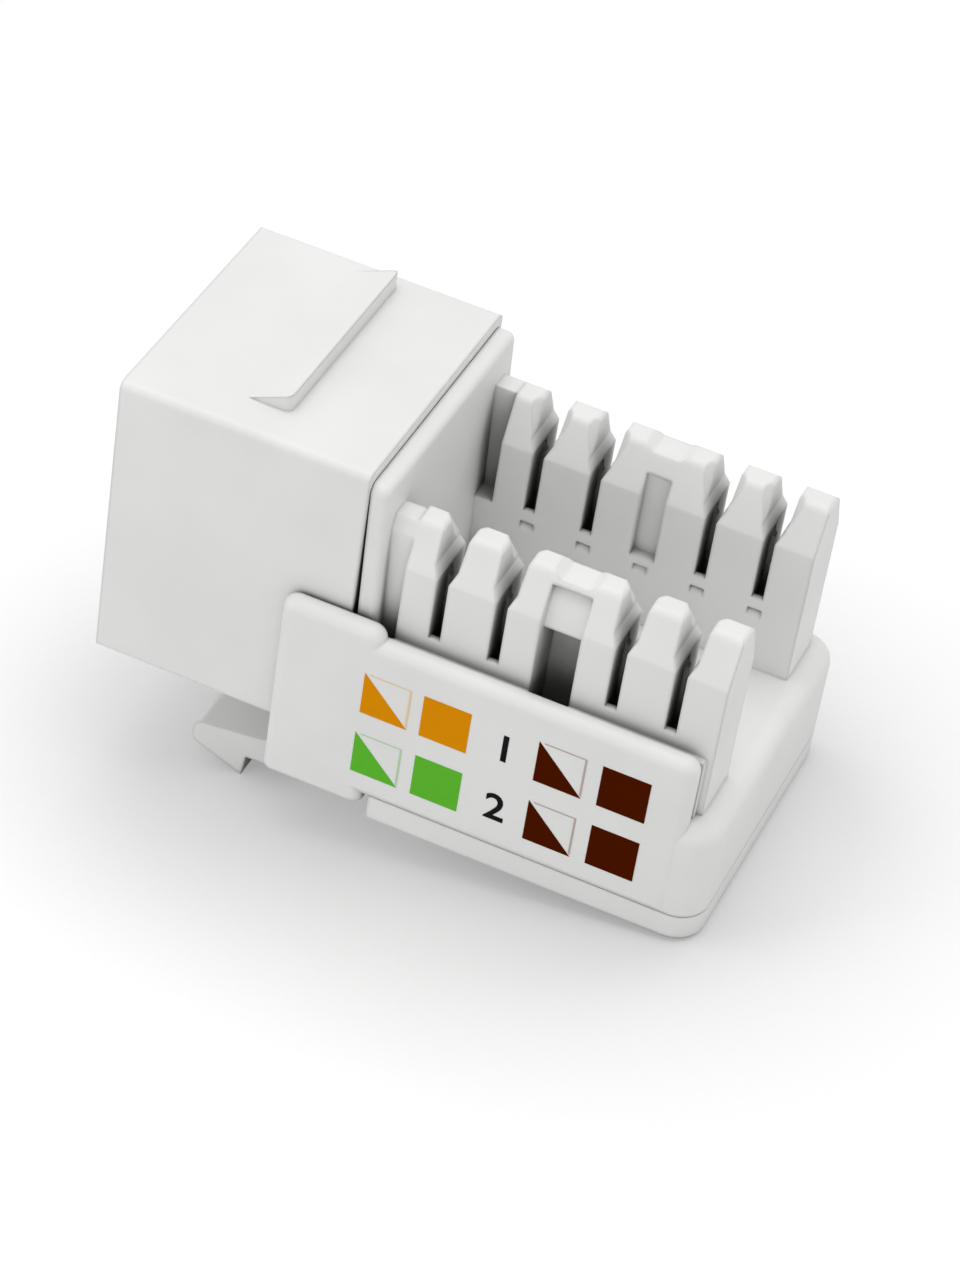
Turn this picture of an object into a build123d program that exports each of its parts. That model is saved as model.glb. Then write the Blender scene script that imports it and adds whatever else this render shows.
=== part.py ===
"""Right-angle keystone jack: an eight-way port with punch-down towers behind it.

Millimetres. The origin is the middle of the housing's front face, +X runs from
the front face to the rear, +Y to the far side and +Z up to the wire towers.
"""
import os
from math import cos, radians, sin

from build123d import *

os.makedirs("parts", exist_ok=True)

# Housing: the box that fills the panel opening
housing_width = 14.6
housing_height = 15.6
housing_length = 12.4
edge_round = 0.4
under = -housing_height / 2

# Fixed hook on top of the housing
ridge_step = 7.4
ridge_run = 2.2
ridge_height = 0.9
ridge_near = 5.1
ridge_far = 6.4
ridge_round = 0.35

# Plug port and the room behind it
port_width = 11.8
port_height = 6.6
port_floor = 3.9
port_chamfer = 0.35
tab_width = 6.2
tab_height = 1.4
key_width = 3.4
key_height = 0.8
lip_length = 1.2
bay_floor = 0.6
bay_depth = 2.6
fit_gap = 0.05
cut_over = 1.0

# Contacts: wires in the port and forked blades in the towers
ways = 8
wire_pitch = 1.02
wire_radius = 0.2
wire_gap = 0.04
wire_bend = 0.45
wire_front = 2.1
wire_tip_inset = 0.4
wire_tip_height = 8.0
wire_depth = 0.55
tail_inset = 1.5
tail_step = 0.95
tail_length = 0.6
comb_depth = 0.9
comb_height = 3.4

# Carrier that holds the wires behind and below the plug
carrier_wall = 2.1
carrier_clear = 0.1

# Circuit board
board_thickness = 1.2
board_level = 1.35
board_lead = 0.3
board_rear_inset = 1.7
board_neck_width = 11.2
board_width = 13.2
board_clear = 0.3
pin_hole_radius = 0.42

# Terminal block: base, skirts with ears, end wall and two rows of posts
housing_gap = 0.03
block_length = 18.87
corner_round = 1.5
rim_round = 1.0
deck_level = 3.8
deck_thickness = 0.9
seam_level = -1.4
skirt_thickness = 1.05
skirt_rear_inset = 1.45
skirt_level = 7.5
skirt_bottom = -2.1
panel_level = -1.25
panel_proud = 0.07
ear_lap = 3.05
ear_tail = 2.0
ear_level = 8.1
ear_corner = 0.7
bead_outer = 0.6
bead_inner = 0.4
ledge_drop = 0.45
wall_thickness = 1.3
wall_crown = 0.85
wall_lean = 0.3
wall_width = 14.3
wall_level = 15.05
wall_corner = 0.5
wall_round = 0.4

# Rows of posts
row_outer = 7.0
row_inner = 3.8
crest_offset = 5.4
crest_half = 0.62
crest_level = 13.35
shoulder_level = 11.1
crest_round = 0.5
row_rear_inset = 1.15
slot_lead = 3.92
slot_pitch = 2.89
slot_steps = (0, 1, 3, 4)
slot_half = 0.29
slot_floor = 7.8
pit_low = 6.8
pit_inner = 4.1
pit_outer = 6.7
throat_half = 0.55
throat_level = 11.7
mouth_half = 0.62
mouth_level = 13.0
rim_flare = 0.3
rim_bow = 0.1
funnel_offset = 4.4
funnel_low_radius = 0.3
funnel_high_radius = 1.1
post_lead = 2.07
web_low = 7.6
web_inner = 5.0
web_outer = 6.4
web_drop = 0.15
side_fill_lead = 2.0

# Middle post of each row
window_half = 0.98
window_low = 4.6
window_high = 10.55
window_depth = 2.2
scoop_level = 12.75
scoop_top_depth = 0.3
scoop_low_depth = 0.42
scoop_bow = 0.18
panel_half = 0.62
panel_depth = 0.6
panel_low = 7.6
panel_high = 12.1
saddle_depth = 0.33
saddle_half = 0.7
saddle_slope = 0.45

# Small sloped sills in the inner faces, one below each slot
sill_half = 0.35
sill_low = 6.65
sill_high = 7.2
sill_depth = 0.32
sill_rise = 0.42

# Forked blades in the posts
blade_thickness = 0.4
blade_gap = 0.05
blade_half = 0.98
blade_top = 10.9
blade_crotch = 8.7
blade_slit = 0.13
blade_neck_half = 0.5
blade_neck_top = 4.6
pin_half = 0.22

# Bottom cover
cover_thickness = 1.5
cover_lead = 2.42
cover_gap = 0.03
cover_rim = 1.1
cover_plug_height = 0.7
cover_round = 0.3
stud_radius = 0.8
stud_inset_x = 1.6

# Side snaps between housing and ears
lug_inset = 2.2
lug_length = 1.5
lug_height = 2.4
lug_reach = 0.55
lug_level = 3.2
lug_gap = 0.08

# Flexible latch under the housing
latch_width = 10.4
latch_root = 1.1
latch_knuckle = 0.65
latch_pivot_gap = 0.05
latch_tip_inset = 7.9
latch_tip_top = 4.05
latch_tip_low = 5.2
latch_bend_inset = 2.8
latch_bend_top = 3.55
latch_heel_inset = 1.9
latch_arm_low = 5.05
latch_slope = 54
latch_bend_round = 1.1
latch_nose_round = 0.55
hook_inset = 5.05
hook_lean = 0.15
hook_low = 6.25

# Levels and planes worked out from the sizes above
half_housing = housing_width / 2
port_low = under + port_floor
port_high = port_low + port_height
carrier_wall_front = housing_length - carrier_clear - carrier_wall
block_front = housing_length + housing_gap
block_rear = block_front + block_length
board_low = under + board_level
board_high = board_low + board_thickness
board_front = carrier_wall_front - board_lead
board_rear = block_rear - board_rear_inset
deck = under + deck_level
ceiling = deck - deck_thickness
seam = under + seam_level
cover_bottom = seam - cover_thickness
skirt_inner = half_housing + fit_gap
half_block = skirt_inner + skirt_thickness
base_width = 2 * (half_block - panel_proud)
skirt_rear = block_rear - skirt_rear_inset
ear_front = housing_length - ear_lap
ear_rear = block_front + ear_tail
wall_rear = block_front + wall_thickness
row_rear = block_rear - row_rear_inset
web_front = block_front + wall_crown - fit_gap
post_front = block_front + post_lead
crest = under + crest_level
slot_first = block_front + slot_lead
cover_front = block_front + cover_lead
lug_front = housing_length - lug_inset
plug_front = cover_front + cover_rim
cavity_front = plug_front - cover_gap
cavity_rear = board_rear + board_clear
cavity_half = board_width / 2 + board_clear
pin_end = board_low - tail_length
slot_centres = [slot_first + slot_pitch * step for step in slot_steps]
row_centre = slot_first + slot_pitch * (slot_steps[0] + slot_steps[-1]) / 2
wire_ys = [wire_pitch * (way - (ways - 1) / 2) for way in range(ways)]
tail_xs = [housing_length - tail_inset + tail_step * (way % 2) for way in range(ways)]
wire_run = port_low - wire_depth
wire_tip_x = carrier_wall_front + wire_tip_inset
latch_pivot_x = housing_length - latch_root
latch_tip_x = housing_length - latch_tip_inset
hook_step = housing_length - hook_inset
latch_pivot_z = under - latch_pivot_gap - latch_knuckle


def finish(part, name):
    """Label one piece and write it to its own file."""
    part.label = name
    export_step(part, f"parts/{name}.step")


# Front housing: panel box with the plug port, the fixed hook and two side lugs
with BuildPart() as front_housing:
    with BuildSketch(Plane.YZ):
        Rectangle(housing_width, housing_height)
    extrude(amount=housing_length)
    fillet(front_housing.edges().filter_by(Axis.X), edge_round)

    with BuildSketch(Plane.XZ.offset(ridge_near)):
        with BuildLine():
            Polyline(
                (ridge_step - ridge_run, -under - fit_gap),
                (ridge_step, -under + ridge_height),
                (ridge_step, -under - fit_gap),
                close=True,
            )
        make_face()
    extrude(amount=-(ridge_near + ridge_far))
    ridge_ends = front_housing.edges().filter_by(Axis.Z)
    fillet(ridge_ends.filter_by_position(Axis.X, ridge_step - fit_gap, ridge_step + fit_gap), ridge_round)

    with BuildSketch(Plane.YZ):
        with Locations((0, port_low + port_height / 2)):
            Rectangle(port_width, port_height)
        with Locations((0, port_high + tab_height / 2)):
            Rectangle(tab_width, tab_height)
        with Locations((0, port_high + tab_height + key_height / 2)):
            Rectangle(key_width, key_height)
    extrude(amount=housing_length, mode=Mode.SUBTRACT)

    tongue_low = board_high
    with BuildSketch(Plane.YZ.offset(lip_length)):
        with Locations((0, (tongue_low + port_low) / 2)):
            Rectangle(port_width, port_low - tongue_low)
    extrude(amount=housing_length - lip_length, mode=Mode.SUBTRACT)

    with BuildSketch(Plane.YZ.offset(housing_length - bay_depth)):
        with Locations((0, (under + bay_floor + port_low) / 2)):
            Rectangle(port_width, port_low - under - bay_floor)
    extrude(amount=bay_depth, mode=Mode.SUBTRACT)

    mouth = front_housing.faces().sort_by(Axis.X)[0].inner_wires()[0].edges()
    chamfer(mouth, port_chamfer)

    with BuildSketch(Plane.XY.offset(under + lug_level)):
        for side in (1, -1):
            with BuildLine():
                Polyline(
                    (lug_front, side * (half_housing - fit_gap)),
                    (lug_front, side * (half_housing + lug_reach)),
                    (lug_front + lug_length, side * (half_housing - fit_gap)),
                    close=True,
                )
            make_face()
    extrude(amount=lug_height)
finish(front_housing.part, "front_housing")

# Flexible latch: a bent arm with a hook that snaps behind the panel
with BuildPart() as panel_latch:
    with BuildSketch(Plane.XZ.offset(latch_width / 2)) as latch_side:
        flank_x = latch_knuckle * sin(radians(latch_slope))
        flank_z = latch_knuckle * cos(radians(latch_slope))
        bend_x = latch_pivot_x - latch_bend_inset
        heel_x = latch_pivot_x - latch_heel_inset
        with BuildLine():
            Polyline(
                (latch_tip_x, under - latch_tip_top),
                (bend_x, under - latch_bend_top),
                (latch_pivot_x - flank_x, latch_pivot_z + flank_z),
                (latch_pivot_x + flank_x, latch_pivot_z - flank_z),
                (heel_x, under - latch_arm_low),
                (hook_step, under - latch_arm_low),
                (hook_step - hook_lean, under - hook_low),
                (latch_tip_x, under - latch_tip_low),
                close=True,
            )
        make_face()
        bends = latch_side.vertices().filter_by_position(Axis.X, bend_x - fit_gap, heel_x + fit_gap)
        fillet(bends, latch_bend_round)
        fillet(latch_side.vertices().group_by(Axis.X)[0], latch_nose_round)
    extrude(amount=-latch_width)
    with BuildSketch(Plane.XZ.offset(latch_width / 2)):
        with Locations((latch_pivot_x, latch_pivot_z)):
            Circle(latch_knuckle)
    extrude(amount=-latch_width)
finish(panel_latch.part, "panel_latch")

# Contact carrier: tongue below the plug and comb wall behind it
with BuildPart() as contact_carrier:
    carrier_width = port_width - 2 * carrier_clear
    carrier_rear = housing_length - carrier_clear
    with BuildSketch(Plane.XZ.offset(carrier_width / 2)):
        with BuildLine():
            Polyline(
                (lip_length + carrier_clear, board_high + fit_gap),
                (lip_length + carrier_clear, port_low),
                (carrier_wall_front, port_low),
                (carrier_wall_front, port_high - carrier_clear),
                (carrier_rear, port_high - carrier_clear),
                (carrier_rear, board_high + fit_gap),
                close=True,
            )
        make_face()
    extrude(amount=-carrier_width)
    groove = 2 * (wire_radius + wire_gap)
    for way_y, tail_x in zip(wire_ys, tail_xs):
        groove_end = tail_x + wire_radius + wire_gap
        with BuildSketch(Plane.XZ.offset(-way_y - groove / 2)):
            with BuildLine():
                Polyline(
                    (lip_length, wire_run - wire_radius - wire_gap),
                    (lip_length, port_low + fit_gap),
                    (carrier_wall_front, port_low + fit_gap),
                    (carrier_wall_front, wire_run + wire_radius + wire_gap),
                    (groove_end, wire_run + wire_radius + wire_gap),
                    (groove_end, board_high),
                    (groove_end - groove, board_high),
                    (groove_end - groove, wire_run - wire_radius - wire_gap),
                    close=True,
                )
            make_face()
        extrude(amount=groove, mode=Mode.SUBTRACT)
        with BuildSketch(Plane.XZ.offset(-way_y - groove / 2)):
            with Locations((carrier_wall_front, under + wire_tip_height)):
                Rectangle(2 * comb_depth, comb_height)
        extrude(amount=groove, mode=Mode.SUBTRACT)
finish(contact_carrier.part, "contact_carrier")

# Contact springs: gold wires along the tongue, back up into the port, and down to the board
for way in range(ways):
    tail_x = tail_xs[way]
    with BuildPart() as contact_spring:
        with BuildLine(Plane.XZ.offset(-wire_ys[way])):
            FilletPolyline(
                (tail_x, pin_end),
                (tail_x, wire_run),
                (wire_front, wire_run),
                (wire_tip_x, under + wire_tip_height),
                radius=wire_bend,
            )
        with BuildSketch(Plane.XY.offset(pin_end)):
            with Locations((tail_x, wire_ys[way])):
                RegularPolygon(wire_radius, 6)
        sweep()
    finish(contact_spring.part, f"contact_spring_{way + 1}")

# Circuit board: carries wires and blades on one row of holes each
blade_places = [(x, side * crest_offset) for side in (-1, 1) for x in slot_centres]
with BuildPart() as circuit_board:
    with BuildSketch(Plane.XY.offset(board_low)):
        neck_end = block_front + 2 * fit_gap
        with Locations(((neck_end + board_rear) / 2, 0)):
            Rectangle(board_rear - neck_end, board_width)
        with Locations(((board_front + neck_end) / 2, 0)):
            Rectangle(neck_end - board_front, board_neck_width)
        with Locations(*zip(tail_xs, wire_ys)):
            RegularPolygon(pin_hole_radius, 8, mode=Mode.SUBTRACT)
        with Locations(*blade_places):
            RegularPolygon(pin_hole_radius, 8, mode=Mode.SUBTRACT)
    extrude(amount=board_thickness)
finish(circuit_board.part, "circuit_board")

# Forked blades: stamped contacts that cut through the wire's cover
for place, (blade_x, blade_y) in enumerate(blade_places):
    with BuildPart() as blade:
        with BuildSketch(Plane.XZ.offset(-blade_y - blade_thickness / 2)):
            with BuildLine():
                Polyline(
                    (blade_x - pin_half, pin_end),
                    (blade_x - pin_half, board_high + fit_gap),
                    (blade_x - blade_neck_half, board_high + fit_gap),
                    (blade_x - blade_neck_half, under + blade_neck_top),
                    (blade_x - blade_half, under + blade_neck_top + blade_neck_half),
                    (blade_x - blade_half, under + blade_top - blade_neck_half),
                    (blade_x - blade_neck_half, under + blade_top),
                    (blade_x - blade_slit, under + blade_top - blade_neck_half),
                    (blade_x - blade_slit, under + blade_crotch),
                    (blade_x + blade_slit, under + blade_crotch),
                    (blade_x + blade_slit, under + blade_top - blade_neck_half),
                    (blade_x + blade_neck_half, under + blade_top),
                    (blade_x + blade_half, under + blade_top - blade_neck_half),
                    (blade_x + blade_half, under + blade_neck_top + blade_neck_half),
                    (blade_x + blade_neck_half, under + blade_neck_top),
                    (blade_x + blade_neck_half, board_high + fit_gap),
                    (blade_x + pin_half, board_high + fit_gap),
                    (blade_x + pin_half, pin_end),
                    close=True,
                )
            make_face()
        extrude(amount=blade_thickness)
    finish(blade.part, f"punch_blade_{place + 1}")

# Terminal block: base, skirts with ears, end wall and two rows of slotted posts
with BuildPart() as terminal_block:
    with BuildSketch(Plane.XY.offset(seam)) as footprint:
        with Locations(((block_front + block_rear) / 2, 0)):
            Rectangle(block_length, base_width)
        fillet(footprint.vertices().group_by(Axis.X)[-1], corner_round)
    extrude(amount=deck - seam)
    rear_rim = terminal_block.edges().group_by(Axis.Z)[-1].filter_by_position(
        Axis.X, block_rear - corner_round - fit_gap, block_rear + fit_gap
    )
    fillet(rear_rim, rim_round)

    # Skirts and, in front of them, the taller ears that hold the housing
    for side, outermost, innermost in ((-1, 0, -1), (1, -1, 0)):
        with BuildPart(mode=Mode.PRIVATE) as skirt:
            with BuildSketch(Plane.XZ.offset(-side * half_block)) as skirt_side:
                with BuildLine():
                    Polyline(
                        (ear_front + ear_corner, under + skirt_level),
                        (skirt_rear, under + skirt_level),
                        (skirt_rear, under + panel_level),
                        (ear_front + ear_corner, under + panel_level),
                        close=True,
                    )
                make_face()
                fillet(skirt_side.vertices().group_by(Axis.X)[-1].sort_by(Axis.Y)[-1], ear_corner)
            extrude(amount=side * skirt_thickness)
            for reached, bead in ((outermost, bead_outer), (innermost, bead_inner)):
                rim = skirt.faces().sort_by(Axis.Y)[reached].edges()
                fillet(rim - rim.group_by(Axis.Z)[0] - rim.group_by(Axis.X)[0], bead)
        add(skirt.part)
        with BuildPart(mode=Mode.PRIVATE) as ear:
            with BuildSketch(Plane.XZ.offset(-side * half_block)) as ear_side:
                with BuildLine():
                    Polyline(
                        (ear_front, under + skirt_bottom),
                        (ear_front, under + ear_level),
                        (ear_rear, under + ear_level),
                        (ear_rear, under + skirt_bottom),
                        close=True,
                    )
                make_face()
                fillet(ear_side.vertices().group_by(Axis.Y)[-1], ear_corner)
            extrude(amount=side * skirt_thickness)
            for reached, bead in ((outermost, bead_outer), (innermost, bead_inner)):
                rim = ear.faces().sort_by(Axis.Y)[reached].edges()
                fillet(rim - rim.group_by(Axis.Z)[0], bead)
        add(ear.part)

    # Two rows of posts, tapered to a crest, and the narrow ledge between each row and its skirt
    ledge_front = block_front + side_fill_lead
    for side in (-1, 1):
        with BuildSketch(Plane.YZ.offset(web_front)) as post_side:
            with BuildLine():
                Polyline(
                    (side * row_outer, deck - fit_gap),
                    (side * row_outer, under + shoulder_level),
                    (side * (crest_offset + crest_half), crest),
                    (side * (crest_offset - crest_half), crest),
                    (side * row_inner, under + shoulder_level),
                    (side * row_inner, deck - fit_gap),
                    close=True,
                )
            make_face()
            fillet(post_side.vertices().group_by(Axis.Y)[-1], crest_round)
        extrude(amount=row_rear - web_front)
        with BuildSketch(Plane.XY.offset(deck - fit_gap)):
            with Locations(((ledge_front + skirt_rear) / 2, side * (row_outer + skirt_inner) / 2)):
                Rectangle(skirt_rear - ledge_front, skirt_inner - row_outer + 2 * fit_gap)
        extrude(amount=under + skirt_level - ledge_drop - deck + fit_gap)

    # Wire slots, each opening upwards into a rounded mouth with a funnel on its inner side
    with BuildSketch(mode=Mode.PRIVATE) as slot_side:
        with BuildLine():
            slot_base = Line((0, slot_floor), (slot_half, slot_floor))
            slot_wall = Line(slot_base @ 1, (slot_half, shoulder_level))
            throat_wall = Line(slot_wall @ 1, (throat_half, throat_level))
            mouth_wall = Line(throat_wall @ 1, (mouth_half, mouth_level))
            rim_end = (mouth_half + rim_flare, crest_level + fit_gap)
            rim_wall = SagittaArc(mouth_wall @ 1, rim_end, rim_bow)
            Line(rim_wall @ 1, (0, crest_level + fit_gap))
            mirror(about=Plane.YZ)
        make_face()
    slot_reach = row_outer + fit_gap
    mouth_centres = slot_centres + [row_rear + mouth_half]
    with BuildSketch(Plane.XZ.offset(slot_reach)):
        with Locations(*[(x, under) for x in mouth_centres]):
            add(slot_side.sketch)
    extrude(amount=-2 * slot_reach, mode=Mode.SUBTRACT)
    funnel_places = [(x, side * funnel_offset) for side in (-1, 1) for x in slot_centres]
    funnel_height = crest_level + fit_gap - shoulder_level
    with Locations(*[(x, y, under + shoulder_level) for x, y in funnel_places]):
        Cone(
            funnel_low_radius,
            funnel_high_radius,
            funnel_height,
            align=(Align.CENTER, Align.CENTER, Align.MIN),
            mode=Mode.SUBTRACT,
        )

    # Deeper pit in the floor of each slot, behind the blade and in front of it
    pit_places = [(x, side * (pit_inner + pit_outer) / 2) for side in (-1, 1) for x in slot_centres]
    with BuildSketch(Plane.XY.offset(under + pit_low)):
        with Locations(*pit_places):
            Rectangle(2 * slot_half, pit_outer - pit_inner)
    extrude(amount=slot_floor - pit_low + fit_gap, mode=Mode.SUBTRACT)

    # First post of each row: a web, hollow on both sides, joins it to the end wall
    web_middle = (web_front + post_front) / 2
    web_length = post_front - web_front
    for side in (-1, 1):
        with BuildSketch(Plane.XY.offset(under + web_low)):
            with Locations((web_middle, side * (web_inner + row_inner - cut_over) / 2)):
                Rectangle(web_length, web_inner - row_inner + cut_over)
        extrude(amount=crest_level - web_low + fit_gap, mode=Mode.SUBTRACT)
        with BuildSketch(Plane.XY.offset(deck)):
            with Locations((web_middle, side * (web_outer + row_outer + fit_gap) / 2)):
                Rectangle(web_length, row_outer + fit_gap - web_outer)
        extrude(amount=crest - deck + fit_gap, mode=Mode.SUBTRACT)
        with BuildSketch(Plane.XY.offset(crest - web_drop)):
            with Locations((web_middle, side * crest_offset)):
                Rectangle(web_length, 2 * (row_outer - crest_offset))
        extrude(amount=web_drop + fit_gap, mode=Mode.SUBTRACT)

    # End wall behind the housing: its front leans away from the housing, its rear leans forward
    with BuildPart(mode=Mode.PRIVATE) as end_wall:
        with BuildSketch(Plane.YZ.offset(block_front)) as wall_outline:
            with Locations((0, (deck + under + wall_level) / 2 - fit_gap)):
                Rectangle(wall_width, under + wall_level - deck + 2 * fit_gap)
            fillet(wall_outline.vertices().group_by(Axis.Y)[-1], wall_corner)
        extrude(amount=wall_thickness)
        with BuildSketch(Plane.XZ.offset(half_block)):
            with BuildLine():
                Polyline(
                    (block_front, under + wall_level),
                    (block_front + wall_crown, under + wall_level),
                    (wall_rear, deck),
                    (wall_rear, deck - fit_gap),
                    (block_front + wall_lean, deck - fit_gap),
                    (block_front + wall_lean, deck),
                    close=True,
                )
            make_face()
        extrude(amount=-2 * half_block, mode=Mode.INTERSECT)
        rear_edges = end_wall.faces().filter_by(GeomType.PLANE).sort_by(Axis.X)[-1].edges()
        fillet(rear_edges - rear_edges.group_by(Axis.Z)[0], wall_round)
    add(end_wall.part)

    # Middle post of each row: saddle in the crest, scoop and deep window outside, panel inside
    for side in (-1, 1):
        with BuildSketch(Plane.XZ.offset(-side * (row_inner - fit_gap))):
            with BuildLine():
                Polyline(
                    (row_centre - saddle_half, crest - saddle_depth),
                    (row_centre + saddle_half, crest - saddle_depth),
                    (row_centre + saddle_half + saddle_slope, crest + fit_gap),
                    (row_centre - saddle_half - saddle_slope, crest + fit_gap),
                    close=True,
                )
            make_face()
        extrude(amount=-side * (row_outer - row_inner + 2 * fit_gap), mode=Mode.SUBTRACT)
        with BuildSketch(Plane.YZ.offset(row_centre - window_half)):
            with BuildLine():
                scoop = SagittaArc(
                    (side * (crest_offset + crest_half - scoop_top_depth + fit_gap), under + scoop_level),
                    (side * (row_outer - scoop_low_depth), under + window_high),
                    side * scoop_bow,
                )
                Polyline(
                    scoop @ 1,
                    (side * (row_outer - window_depth), under + window_high),
                    (side * (row_outer - window_depth), under + window_low),
                    (side * skirt_inner, under + window_low),
                    (side * skirt_inner, under + skirt_level + fit_gap),
                    (side * (row_outer + cut_over), under + skirt_level + fit_gap),
                    (side * (row_outer + cut_over), under + scoop_level),
                    scoop @ 0,
                )
            make_face()
        extrude(amount=2 * window_half, mode=Mode.SUBTRACT)
        with BuildSketch(Plane.XZ.offset(-side * (row_inner + panel_depth))):
            with Locations((row_centre, under + (panel_low + panel_high) / 2)):
                Rectangle(2 * panel_half, panel_high - panel_low)
        extrude(amount=side * (panel_depth + cut_over), mode=Mode.SUBTRACT)
        for sill_x in slot_centres + [row_centre]:
            with BuildSketch(Plane.YZ.offset(sill_x - sill_half)):
                with BuildLine():
                    Polyline(
                        (side * (row_inner - fit_gap), under + sill_low),
                        (side * (row_inner + sill_depth), under + sill_low + sill_rise),
                        (side * (row_inner - fit_gap), under + sill_high),
                        close=True,
                    )
                make_face()
            extrude(amount=2 * sill_half, mode=Mode.SUBTRACT)

    # Room for the board below the deck, its way in, and the pockets of the blades
    with BuildSketch(Plane.XY.offset(seam)):
        with Locations(((cavity_front + cavity_rear) / 2, 0)):
            Rectangle(cavity_rear - cavity_front, 2 * cavity_half)
    extrude(amount=ceiling - seam, mode=Mode.SUBTRACT)
    with BuildSketch(Plane.YZ.offset(block_front)):
        with Locations((0, (pin_end - fit_gap + ceiling) / 2)):
            Rectangle(2 * cavity_half, ceiling - pin_end + fit_gap)
    extrude(amount=cavity_front + fit_gap - block_front, mode=Mode.SUBTRACT)
    with BuildSketch(Plane.XY.offset(ceiling - fit_gap)):
        with Locations(*blade_places):
            Rectangle(2 * (blade_half + blade_gap), blade_thickness + 2 * blade_gap)
    extrude(amount=under + blade_top + blade_gap - ceiling + fit_gap, mode=Mode.SUBTRACT)

    # Pockets in the ears that take the housing's side lugs
    with BuildSketch(Plane.XY.offset(under + lug_level - lug_gap)):
        for side in (-1, 1):
            with BuildLine():
                Polyline(
                    (lug_front - lug_gap, side * (skirt_inner - fit_gap)),
                    (lug_front - lug_gap, side * (half_housing + lug_reach + lug_gap)),
                    (lug_front + lug_gap, side * (half_housing + lug_reach + lug_gap)),
                    (lug_front + lug_length + 2 * lug_gap, side * (skirt_inner - fit_gap)),
                    close=True,
                )
            make_face()
    extrude(amount=lug_height + 2 * lug_gap, mode=Mode.SUBTRACT)
finish(terminal_block.part, "terminal_block")

# Bottom cover: closes the base below the board
with BuildPart() as base_cover:
    with BuildSketch(Plane.XY.offset(cover_bottom)) as cover_outline:
        with Locations(((cover_front + block_rear) / 2, 0)):
            Rectangle(block_rear - cover_front, base_width)
        fillet(cover_outline.vertices().group_by(Axis.X)[-1], corner_round)
    extrude(amount=cover_thickness - cover_gap)
    fillet(base_cover.edges().group_by(Axis.Z)[0], cover_round)
    with BuildSketch(Plane.XY.offset(seam - cover_gap)):
        with Locations(((plug_front + cavity_rear - cover_gap) / 2, 0)):
            Rectangle(cavity_rear - cover_gap - plug_front, 2 * (cavity_half - cover_gap))
    extrude(amount=cover_plug_height)
    with BuildSketch(Plane.XY.offset(seam - cover_gap)):
        with Locations((plug_front + stud_inset_x, 0), (board_rear - stud_inset_x, 0)):
            Circle(stud_radius)
    extrude(amount=board_low - seam + cover_gap)
finish(base_cover.part, "base_cover")
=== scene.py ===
"""Looks of the right-angle keystone jack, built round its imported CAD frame."""
import math

import bmesh
import bpy
from mathutils import Matrix, Vector


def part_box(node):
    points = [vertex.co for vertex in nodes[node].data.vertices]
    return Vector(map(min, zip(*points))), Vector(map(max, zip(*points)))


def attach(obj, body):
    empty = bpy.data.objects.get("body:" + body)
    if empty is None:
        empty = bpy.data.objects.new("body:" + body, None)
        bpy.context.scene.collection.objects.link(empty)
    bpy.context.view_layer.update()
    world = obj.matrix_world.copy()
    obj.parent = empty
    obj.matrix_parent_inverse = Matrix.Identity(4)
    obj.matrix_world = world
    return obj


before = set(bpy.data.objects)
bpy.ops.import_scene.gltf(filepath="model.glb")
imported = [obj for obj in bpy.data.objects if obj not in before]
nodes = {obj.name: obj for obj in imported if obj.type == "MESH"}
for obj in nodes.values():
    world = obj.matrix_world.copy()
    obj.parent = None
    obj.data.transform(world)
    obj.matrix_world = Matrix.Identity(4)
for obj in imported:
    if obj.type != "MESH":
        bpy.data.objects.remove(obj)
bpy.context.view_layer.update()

# Terminal block and bottom cover
# Two injection mouldings in the same white ABS. The cover closes the block's base from
# below, and a fine line runs round it where the two meet.
mm = 0.001
abs_light = "#E7E7E6"
abs_shade = "#E3E3E2"
# Colours of painted shade for slots, grooves and hollows, and the openness at which each is reached.
slot_painted_shade = "#2A2928"
groove_painted_shade = "#8C8B89"
hollow_painted_shade = "#D3D2D0"
slot_open = 0.04
groove_open = 0.16
hollow_open = 0.33
face_open = 0.54
flow_size = 5.0 * mm
grain_size = 0.25 * mm
grain_height = 0.008 * mm
edge_softness = 0.26 * mm
hollow_reach = 3.0 * mm
light_spread = 0.3 * mm
plastic_ior = 1.5


def linear(hex_colour):
    """Turn an sRGB hex colour into the linear colour that a shader reads."""
    channels = [int(hex_colour[i:i + 2], 16) / 255 for i in (1, 3, 5)]
    return tuple(c / 12.92 if c <= 0.04045 else ((c + 0.055) / 1.055) ** 2.4 for c in channels) + (1,)


def add_node(tree, kind, settings=None, links=None):
    """Add one node, set its properties and inputs, and link sources to its inputs."""
    node = tree.nodes.new(kind)
    for name, value in (settings or {}).items():
        if isinstance(name, int) or name in node.inputs:
            node.inputs[name].default_value = value
        else:
            setattr(node, name, value)
    for name, source in (links or {}).items():
        tree.links.new(source, node.inputs[name])
    return node


def new_material(name):
    """Start a material with only its output node, and give its tree."""
    material = bpy.data.materials.new(name)
    material.use_nodes = True
    tree = material.node_tree
    tree.nodes.clear()
    return material, tree, tree.nodes.new("ShaderNodeOutputMaterial")


def dress(names, material):
    """Give CAD nodes a finished material in every slot."""
    for name in names:
        mesh = nodes[name].data
        if not mesh.materials:
            mesh.materials.append(material)
        for slot in range(len(mesh.materials)):
            mesh.materials[slot] = material
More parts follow.
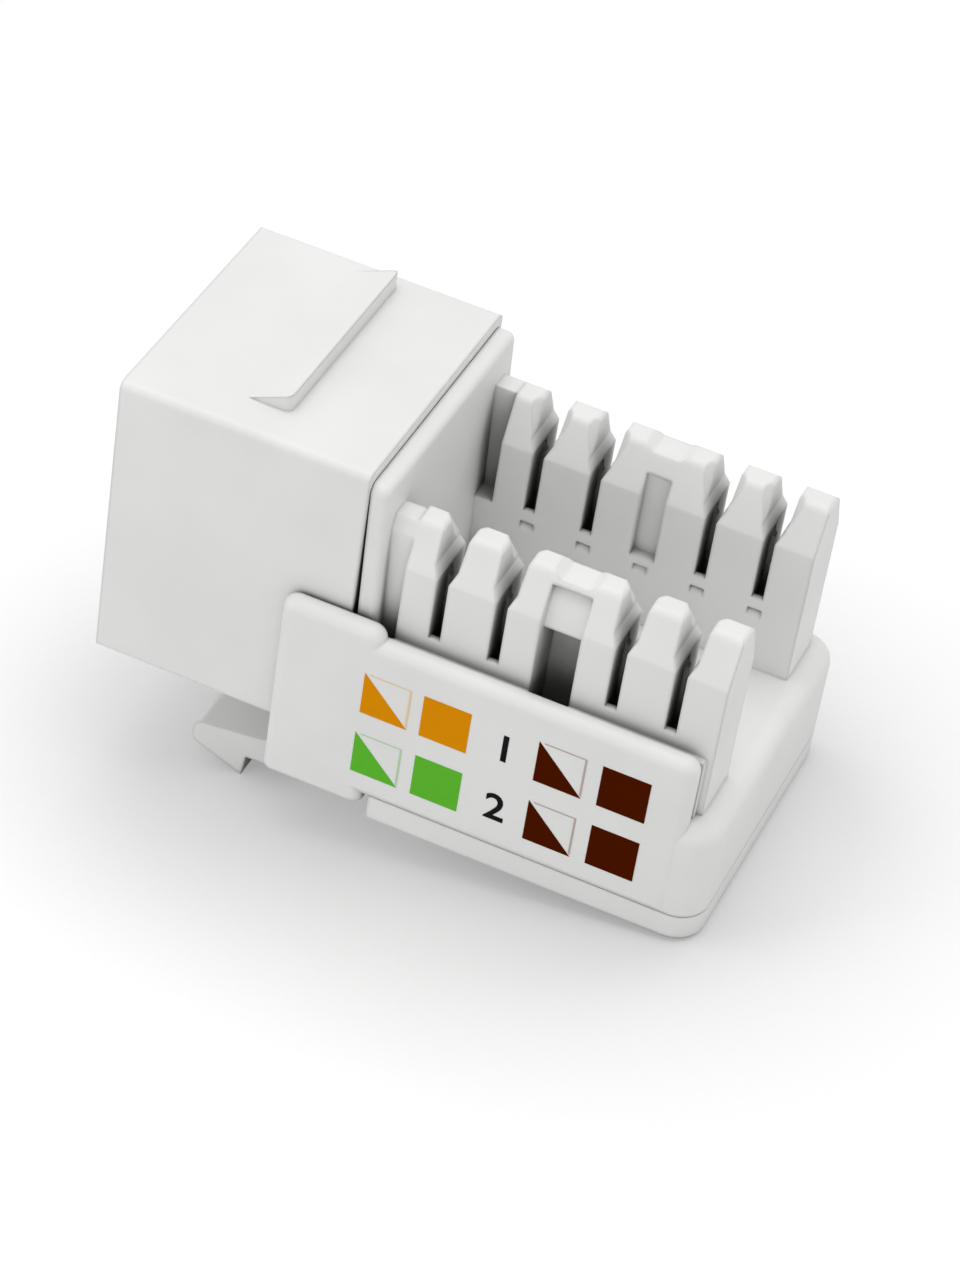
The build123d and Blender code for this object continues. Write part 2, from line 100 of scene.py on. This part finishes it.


# Injection-moulded ABS: an even, slightly warm white with a satin skin. Broad flow tones
# too faint to name, a fine grain in the sheen, and soft moulded edges. Painted shade darkens the
# colour where the surface is closed in: near black deep in narrow slots, grey in grooves, faint grey in
# hollows.
white_abs, tree, out = new_material("moulded_white_ABS")
place = add_node(tree, "ShaderNodeTexCoord")
flow = add_node(
    tree, "ShaderNodeTexNoise", {"Scale": 1 / flow_size, "Detail": 2.0, "Roughness": 0.5},
    {"Vector": place.outputs["Object"]},
)
tone = add_node(tree, "ShaderNodeValToRGB", {}, {"Fac": flow.outputs["Fac"]})
tone.color_ramp.elements[0].position = 0.35
tone.color_ramp.elements[0].color = linear(abs_shade)
tone.color_ramp.elements[1].position = 0.65
tone.color_ramp.elements[1].color = linear(abs_light)
# Painted shade: the colour is darkened where the AO node finds the surface closed in, down to near black
# in slots.
openness = add_node(tree, "ShaderNodeAmbientOcclusion", {"samples": 12, "Distance": hollow_reach})
painted_shade_ramp = add_node(tree, "ShaderNodeValToRGB", {}, {"Fac": openness.outputs["AO"]})
painted_shade_ramp.color_ramp.elements[0].position = slot_open
painted_shade_ramp.color_ramp.elements[0].color = linear(slot_painted_shade)
painted_shade_ramp.color_ramp.elements[1].position = face_open
painted_shade_ramp.color_ramp.elements[1].color = (1, 1, 1, 1)
painted_shade_ramp.color_ramp.elements.new(groove_open).color = linear(groove_painted_shade)
painted_shade_ramp.color_ramp.elements.new(hollow_open).color = linear(hollow_painted_shade)
tone_and_painted_shade = add_node(
    tree, "ShaderNodeMix", {"data_type": "RGBA", "blend_type": "MULTIPLY", 0: 1.0},
    {6: tone.outputs["Color"], 7: painted_shade_ramp.outputs["Color"]},
)
grain = add_node(
    tree, "ShaderNodeTexNoise", {"Scale": 1 / grain_size, "Detail": 2.0},
    {"Vector": place.outputs["Object"]},
)
satin = add_node(
    tree, "ShaderNodeMapRange", {"To Min": 0.40, "To Max": 0.50}, {"Value": grain.outputs["Fac"]},
)
soft_edge = add_node(tree, "ShaderNodeBevel", {"samples": 6, "Radius": edge_softness})
relief = add_node(
    tree, "ShaderNodeBump", {"Strength": 0.06, "Distance": grain_height},
    {"Height": grain.outputs["Fac"], "Normal": soft_edge.outputs["Normal"]},
)
shell = add_node(
    tree, "ShaderNodeBsdfPrincipled",
    {
        "IOR": plastic_ior, "Subsurface Weight": 0.05, "Subsurface Radius": (1.0, 0.95, 0.9),
        "Subsurface Scale": light_spread,
    },
    {
        "Base Color": tone_and_painted_shade.outputs[2], "Roughness": satin.outputs["Result"],
        "Normal": relief.outputs["Normal"],
    },
)
tree.links.new(shell.outputs["BSDF"], out.inputs["Surface"])
dress(["terminal_block", "base_cover"], white_abs)

# Front housing and panel latch
# The box that fills the panel opening, with its fixed hook, and the bent arm under it.
# They are one moulding in the same white ABS, and the thin arm bends where it leaves the box.
dress(["front_housing", "panel_latch"], white_abs)

# Contact carrier
# A comb in black glass-filled polyester that holds the eight wires in their grooves.
# The glass leaves a dull, slightly speckled skin.
speck_size = 0.15 * mm
speck_height = 0.01 * mm
carrier_black, tree, out = new_material("glass_filled_black_polyester")
place = add_node(tree, "ShaderNodeTexCoord")
speck = add_node(
    tree, "ShaderNodeTexNoise", {"Scale": 1 / speck_size, "Detail": 3.0},
    {"Vector": place.outputs["Object"]},
)
tone = add_node(tree, "ShaderNodeValToRGB", {}, {"Fac": speck.outputs["Fac"]})
tone.color_ramp.elements[0].position = 0.3
tone.color_ramp.elements[0].color = linear("#161617")
tone.color_ramp.elements[1].position = 0.75
tone.color_ramp.elements[1].color = linear("#232324")
dull = add_node(
    tree, "ShaderNodeMapRange", {"To Min": 0.42, "To Max": 0.62}, {"Value": speck.outputs["Fac"]},
)
relief = add_node(
    tree, "ShaderNodeBump", {"Strength": 0.2, "Distance": speck_height},
    {"Height": speck.outputs["Fac"]},
)
shell = add_node(
    tree, "ShaderNodeBsdfPrincipled", {"IOR": 1.55},
    {
        "Base Color": tone.outputs["Color"], "Roughness": dull.outputs["Result"],
        "Normal": relief.outputs["Normal"],
    },
)
tree.links.new(shell.outputs["BSDF"], out.inputs["Surface"])
dress(["contact_carrier"], carrier_black)

# Circuit board
# Glass-epoxy laminate under green solder mask, with the weave faintly telling through.
# It lies in the base, and little of it shows once the cover is on.
thread_spacing = 0.5 * mm
wave_turn = 6.28
weave_scale = 1 / (wave_turn * thread_spacing)
board_green, tree, out = new_material("green_solder_mask")
place = add_node(tree, "ShaderNodeTexCoord")
warp = add_node(
    tree, "ShaderNodeTexWave", {"Scale": weave_scale, "bands_direction": "X"},
    {"Vector": place.outputs["Object"]},
)
weft = add_node(
    tree, "ShaderNodeTexWave", {"Scale": weave_scale, "bands_direction": "Y"},
    {"Vector": place.outputs["Object"]},
)
weave = add_node(
    tree, "ShaderNodeMath", {"operation": "MULTIPLY"}, {0: warp.outputs["Fac"], 1: weft.outputs["Fac"]},
)
tone = add_node(tree, "ShaderNodeValToRGB", {}, {"Fac": weave.outputs["Value"]})
tone.color_ramp.elements[0].color = linear("#15532B")
tone.color_ramp.elements[1].color = linear("#1F6B3A")
shell = add_node(
    tree, "ShaderNodeBsdfPrincipled", {"IOR": plastic_ior, "Roughness": 0.28},
    {"Base Color": tone.outputs["Color"]},
)
tree.links.new(shell.outputs["BSDF"], out.inputs["Surface"])
dress(["circuit_board"], board_green)

# Contact springs
# Drawn phosphor bronze wire, bent to shape and gold plated where the plug touches it.
# The drawn skin gives a long soft glint that breaks up a little with handling.
def dress_plated(node_start, name, streak, dark, light, polish_range):
    """Give every node of one kind a plated metal skin with tones that run in soft streaks."""
    metal, tree, out = new_material(name)
    place = add_node(tree, "ShaderNodeTexCoord")
    wear = add_node(
        tree, "ShaderNodeTexNoise", {"Scale": 1 / streak, "Detail": 3.0},
        {"Vector": place.outputs["Object"]},
    )
    tone = add_node(tree, "ShaderNodeValToRGB", {}, {"Fac": wear.outputs["Fac"]})
    tone.color_ramp.elements[0].color = linear(dark)
    tone.color_ramp.elements[1].color = linear(light)
    smooth, rough = polish_range
    polish = add_node(
        tree, "ShaderNodeMapRange", {"To Min": smooth, "To Max": rough}, {"Value": wear.outputs["Fac"]},
    )
    shell = add_node(
        tree, "ShaderNodeBsdfPrincipled", {"Metallic": 1.0},
        {"Base Color": tone.outputs["Color"], "Roughness": polish.outputs["Result"]},
    )
    tree.links.new(shell.outputs["BSDF"], out.inputs["Surface"])
    dress([node for node in nodes if node.startswith(node_start)], metal)


dress_plated("contact_spring", "gold_plated_bronze_wire", 0.6 * mm, "#D9A441", "#E9BE63", (0.18, 0.32))

# Punch-down blades
# Stamped bronze strip, tin plated dull grey, forked to cut through the wire's cover.
# They stand deep in the slots, so only a dark grey edge of each one shows.
dress_plated("punch_blade", "dull_tin_plated_bronze", 0.4 * mm, "#7C7B78", "#93928E", (0.35, 0.55))

# Wiring colour marks
# Squares of pad-printed ink on the near skirt: whole for a coloured wire, and a filled half
# with a fine outline for its striped mate. The ink is a film that hardly stands up.
mark_side = 2.35 * mm
ink_film = 0.02 * mm
ink_seat = 0.002 * mm
top_line = 0.06 * mm
side_line = 0.10 * mm
half_height = 7.8 * mm
skirt_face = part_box("terminal_block")[0].y
upper_top = 5.7 * mm - half_height
lower_top = 2.12 * mm - half_height
# Each colour's name, ink and thinner outline ink, the left edges of its half and its whole
# square behind the front face, and the level of the top of each pair.
marks = [
    ("orange", "#DC8D08", "#E6CDA6", 13.85 * mm, 16.81 * mm, (upper_top,)),
    ("green", "#5EB832", "#BBD3AF", 13.80 * mm, 16.83 * mm, (lower_top,)),
    ("brown", "#491600", "#BBAAA4", 22.50 * mm, 25.61 * mm, (upper_top, lower_top)),
]


def ink(name, colour):
    """Pad-printing ink: an even film, faintly mottled, that dries flat with no shine of its own."""
    material, tree, out = new_material(name)
    place = add_node(tree, "ShaderNodeTexCoord")
    mottle = add_node(
        tree, "ShaderNodeTexNoise", {"Scale": 1 / grain_size, "Detail": 2.0},
        {"Vector": place.outputs["Object"]},
    )
    weight = add_node(
        tree, "ShaderNodeMapRange", {"To Min": 0.96, "To Max": 1.04}, {"Value": mottle.outputs["Fac"]},
    )
    film = add_node(
        tree, "ShaderNodeHueSaturation", {"Color": linear(colour)}, {"Value": weight.outputs["Result"]},
    )
    matt = add_node(
        tree, "ShaderNodeMapRange", {"To Min": 0.38, "To Max": 0.5}, {"Value": mottle.outputs["Fac"]},
    )
    shell = add_node(
        tree, "ShaderNodeBsdfPrincipled", {"IOR": plastic_ior, "Specular IOR Level": 0.0},
        {"Base Color": film.outputs["Color"], "Roughness": matt.outputs["Result"]},
    )
    tree.links.new(shell.outputs["BSDF"], out.inputs["Surface"])
    return material


def print_piece(name, film, material):
    """Make a printed film a piece that rides on the jack."""
    bmesh.ops.recalc_face_normals(film, faces=film.faces)
    mesh = bpy.data.meshes.new(name)
    film.to_mesh(mesh)
    film.free()
    mesh.materials.append(material)
    piece = bpy.data.objects.new(name, mesh)
    bpy.context.scene.collection.objects.link(piece)
    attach(piece, "jack")


def thicken(film, faces, reach):
    """Raise the faces of a flat film along a vector, so that it closes at its thickness."""
    raised = bmesh.ops.extrude_face_region(film, geom=faces)
    moved = [v for v in raised["geom"] if isinstance(v, bmesh.types.BMVert)]
    bmesh.ops.translate(film, verts=moved, vec=reach)


def print_field(film, corners):
    """Lay one flat field of ink on the skirt from its (x, z) corners, and give it its thickness."""
    face = film.faces.new([film.verts.new((x, skirt_face + ink_seat, z)) for x, z in corners])
    thicken(film, [face], (0, -ink_film, 0))


for name, colour, outline_colour, half_left, whole_left, tops in marks:
    fields = bmesh.new()
    outlines = bmesh.new()
    for top in tops:
        low = top - mark_side
        right = half_left + mark_side
        print_field(fields, [(half_left, top), (half_left, low), (right, low)])
        print_field(outlines, [
            (half_left + 4 * top_line, top), (right, top),
            (right, top - top_line), (half_left + 5 * top_line, top - top_line),
        ])
        print_field(outlines, [
            (right - side_line, top - top_line), (right, top - top_line),
            (right, low + side_line), (right - side_line, low + 2 * side_line),
        ])
        right = whole_left + mark_side
        print_field(fields, [(whole_left, top), (whole_left, low), (right, low), (right, top)])
    print_piece(name + "_wire_marks", fields, ink(name + "_ink", colour))
    print_piece(name + "_mark_outlines", outlines, ink(name + "_thin_ink", outline_colour))

# Row numbers
# Plain numerals, 1 for the upper row of colour marks and 2 for the lower, in the same
# pad-printed way, in black ink.
numeral_height = 1.55 * mm
numeral_share = 0.72
numeral_weight = 0.03 * mm
numeral_middle = 20.95 * mm
upper_numeral = 4.39 * mm - half_height
lower_numeral = 0.83 * mm - half_height
point_merge = 0.001 * mm
for text, level in (("1", upper_numeral), ("2", lower_numeral)):
    writing = bpy.data.curves.new("row_number_writing", "FONT")
    writing.body = text
    writing.align_x = "CENTER"
    writing.align_y = "CENTER"
    writing.size = numeral_height / numeral_share
    writing.offset = numeral_weight
    writing.resolution_u = 4
    writer = bpy.data.objects.new("row_number_writer", writing)
    flat = bpy.data.meshes.new_from_object(writer)
    film = bmesh.new()
    film.from_mesh(flat)
    bpy.data.objects.remove(writer)
    bpy.data.curves.remove(writing)
    bpy.data.meshes.remove(flat)
    bmesh.ops.remove_doubles(film, verts=film.verts, dist=point_merge)
    thicken(film, film.faces[:], (0, 0, ink_film))
    bmesh.ops.rotate(film, verts=film.verts, matrix=Matrix.Rotation(math.pi / 2, 3, "X"))
    bmesh.ops.translate(film, verts=film.verts, vec=(numeral_middle, skirt_face + ink_seat, level))
    print_piece("row_number_" + text, film, ink("black_ink", "#1D1D1E"))

# Table
# A wide sheet of white paper. The jack lies on its latch hook and the rear edge of its base,
# which tips it by about eight degrees, so the table is tilted that much in the jack's frame.
# Close round the jack a painted shadow greys the paper on top of its real shadow, and a share of the
# paper glows with that painted shadow; further out it is plain white.
lean = math.radians(8.0)
table_up = Vector((-math.sin(lean), 0, math.cos(lean)))
table_level = min(table_up.dot(v.co) for node in nodes.values() for v in node.data.vertices)
table_half = 1500 * mm
shadow_reach = 16 * mm
painted_glow_share = 0.4
fade_start = 40 * mm
fade_end = 120 * mm
bench = bmesh.new()
bmesh.ops.create_grid(bench, x_segments=1, y_segments=1, size=table_half)
bmesh.ops.rotate(bench, verts=bench.verts, matrix=Matrix.Rotation(-lean, 3, "Y"))
bmesh.ops.translate(bench, verts=bench.verts, vec=table_up * table_level)
mesh = bpy.data.meshes.new("table")
bench.to_mesh(mesh)
bench.free()
table = bpy.data.objects.new("table", mesh)
bpy.context.scene.collection.objects.link(table)

# Uncoated white paper: a flat, even white with no sheen. The eye sees it nearly white, and
# the jack is lit by a slightly greyer one, so that its undersides don't wash out.
paper, tree, out = new_material("white_paper")
ray = add_node(tree, "ShaderNodeLightPath")
# Painted shadow: the paper's colour is greyed where the AO node finds the jack closing it in.
near = add_node(tree, "ShaderNodeAmbientOcclusion", {"samples": 12, "Distance": shadow_reach})
painted_floor_shadow = add_node(
    tree, "ShaderNodeMapRange", {"From Min": 0.70, "From Max": 1.0, "To Min": 0.76, "To Max": 0.985},
    {"Value": near.outputs["AO"]},
)
shaded = add_node(tree, "ShaderNodeBsdfDiffuse", {}, {"Color": painted_floor_shadow.outputs["Result"]})
# A share of the paper glows for the eye with this painted shadow in place of light, which lifts its
# deepest shade.
painted_shadow_glow = add_node(tree, "ShaderNodeEmission", {"Strength": 1.0}, {"Color": painted_floor_shadow.outputs["Result"]})
seen = add_node(
    tree, "ShaderNodeMixShader", {0: painted_glow_share}, {1: shaded.outputs["BSDF"], 2: painted_shadow_glow.outputs["Emission"]},
)
lit = add_node(tree, "ShaderNodeBsdfDiffuse", {"Color": linear("#E2E2E2")})
place = add_node(tree, "ShaderNodeTexCoord")
away = add_node(tree, "ShaderNodeVectorMath", {"operation": "LENGTH"}, {0: place.outputs["Object"]})
fade = add_node(
    tree, "ShaderNodeMapRange", {"From Min": fade_start, "From Max": fade_end},
    {"Value": away.outputs["Value"]},
)
backdrop = add_node(tree, "ShaderNodeEmission", {"Strength": 1.0})
shown = add_node(
    tree, "ShaderNodeMixShader", {},
    {0: fade.outputs["Result"], 1: seen.outputs["Shader"], 2: backdrop.outputs["Emission"]},
)
surface = add_node(
    tree, "ShaderNodeMixShader", {},
    {0: ray.outputs["Is Camera Ray"], 1: lit.outputs["BSDF"], 2: shown.outputs["Shader"]},
)
tree.links.new(surface.outputs["Shader"], out.inputs["Surface"])
mesh.materials.append(paper)

# White room
# Walls and ceiling give an even light from all round, a little under full white. Seen
# straight, in a gloss or through a clear piece, they are plain white.
room_strength = 0.79
white = (1, 1, 1, 1)
world = bpy.data.worlds.new("studio")
bpy.context.scene.world = world
world.use_nodes = True
tree = world.node_tree
tree.nodes.clear()
out = tree.nodes.new("ShaderNodeOutputWorld")
room = add_node(tree, "ShaderNodeBackground", {"Color": white, "Strength": room_strength})
white_room = add_node(tree, "ShaderNodeBackground", {"Color": white, "Strength": 1.0})
ray = add_node(tree, "ShaderNodeLightPath")
mirrored = add_node(
    tree, "ShaderNodeMath", {"operation": "MAXIMUM"},
    {0: ray.outputs["Is Glossy Ray"], 1: ray.outputs["Is Transmission Ray"]},
)
direct = add_node(
    tree, "ShaderNodeMath", {"operation": "MAXIMUM"},
    {0: ray.outputs["Is Camera Ray"], 1: mirrored.outputs["Value"]},
)
walls = add_node(
    tree, "ShaderNodeMixShader", {},
    {0: direct.outputs["Value"], 1: room.outputs["Background"], 2: white_room.outputs["Background"]},
)
tree.links.new(walls.outputs["Shader"], out.inputs["Surface"])

# Lamps
# A big softbox hangs high overhead and gives the tops their light and the soft shadow. A
# weak small fill in front of the near side lifts the housing and the latch.
def hang_lamp(name, width, energy, lamp_place, target):
    """Hang a round soft lamp at a place and turn it to its target."""
    lamp = bpy.data.lights.new(name, "AREA")
    lamp.shape = "DISK"
    lamp.size = width
    lamp.energy = energy
    holder = bpy.data.objects.new(name, lamp)
    bpy.context.scene.collection.objects.link(holder)
    holder.location = lamp_place
    holder.rotation_euler = (target - lamp_place).to_track_quat("-Z", "Y").to_euler()


jack_middle = Vector((15 * mm, 0, -2 * mm))
housing_middle = Vector((6 * mm, 0, 0))
hang_lamp("softbox", 500 * mm, 1.1, Vector((-50, 20, 580)) * mm, jack_middle)
hang_lamp("fill", 40 * mm, 0.003, Vector((-30, -50, 20)) * mm, housing_middle)

# Camera
# A long lens above the near side, a little to the rear, looking down on the printed skirt.
# Its three directions are those of the photograph's view in the jack's own frame.
camera_place = Vector((63.79, -148.76, 125.67)) * mm
camera_right = Vector((0.9067, 0.4019, 0.1276))
camera_up = Vector((-0.3513, 0.5525, 0.7558))
camera_back = camera_right.cross(camera_up)
lens = bpy.data.cameras.new("camera")
lens.lens = 122.4
lens.sensor_width = 36.0
lens.clip_start = 10 * mm
camera = bpy.data.objects.new("camera", lens)
bpy.context.scene.collection.objects.link(camera)
turn = Matrix((camera_right, camera_up, camera_back)).transposed().to_4x4()
camera.matrix_world = Matrix.Translation(camera_place) @ turn
bpy.context.scene.camera = camera
bpy.context.scene.view_settings.view_transform = "Standard"
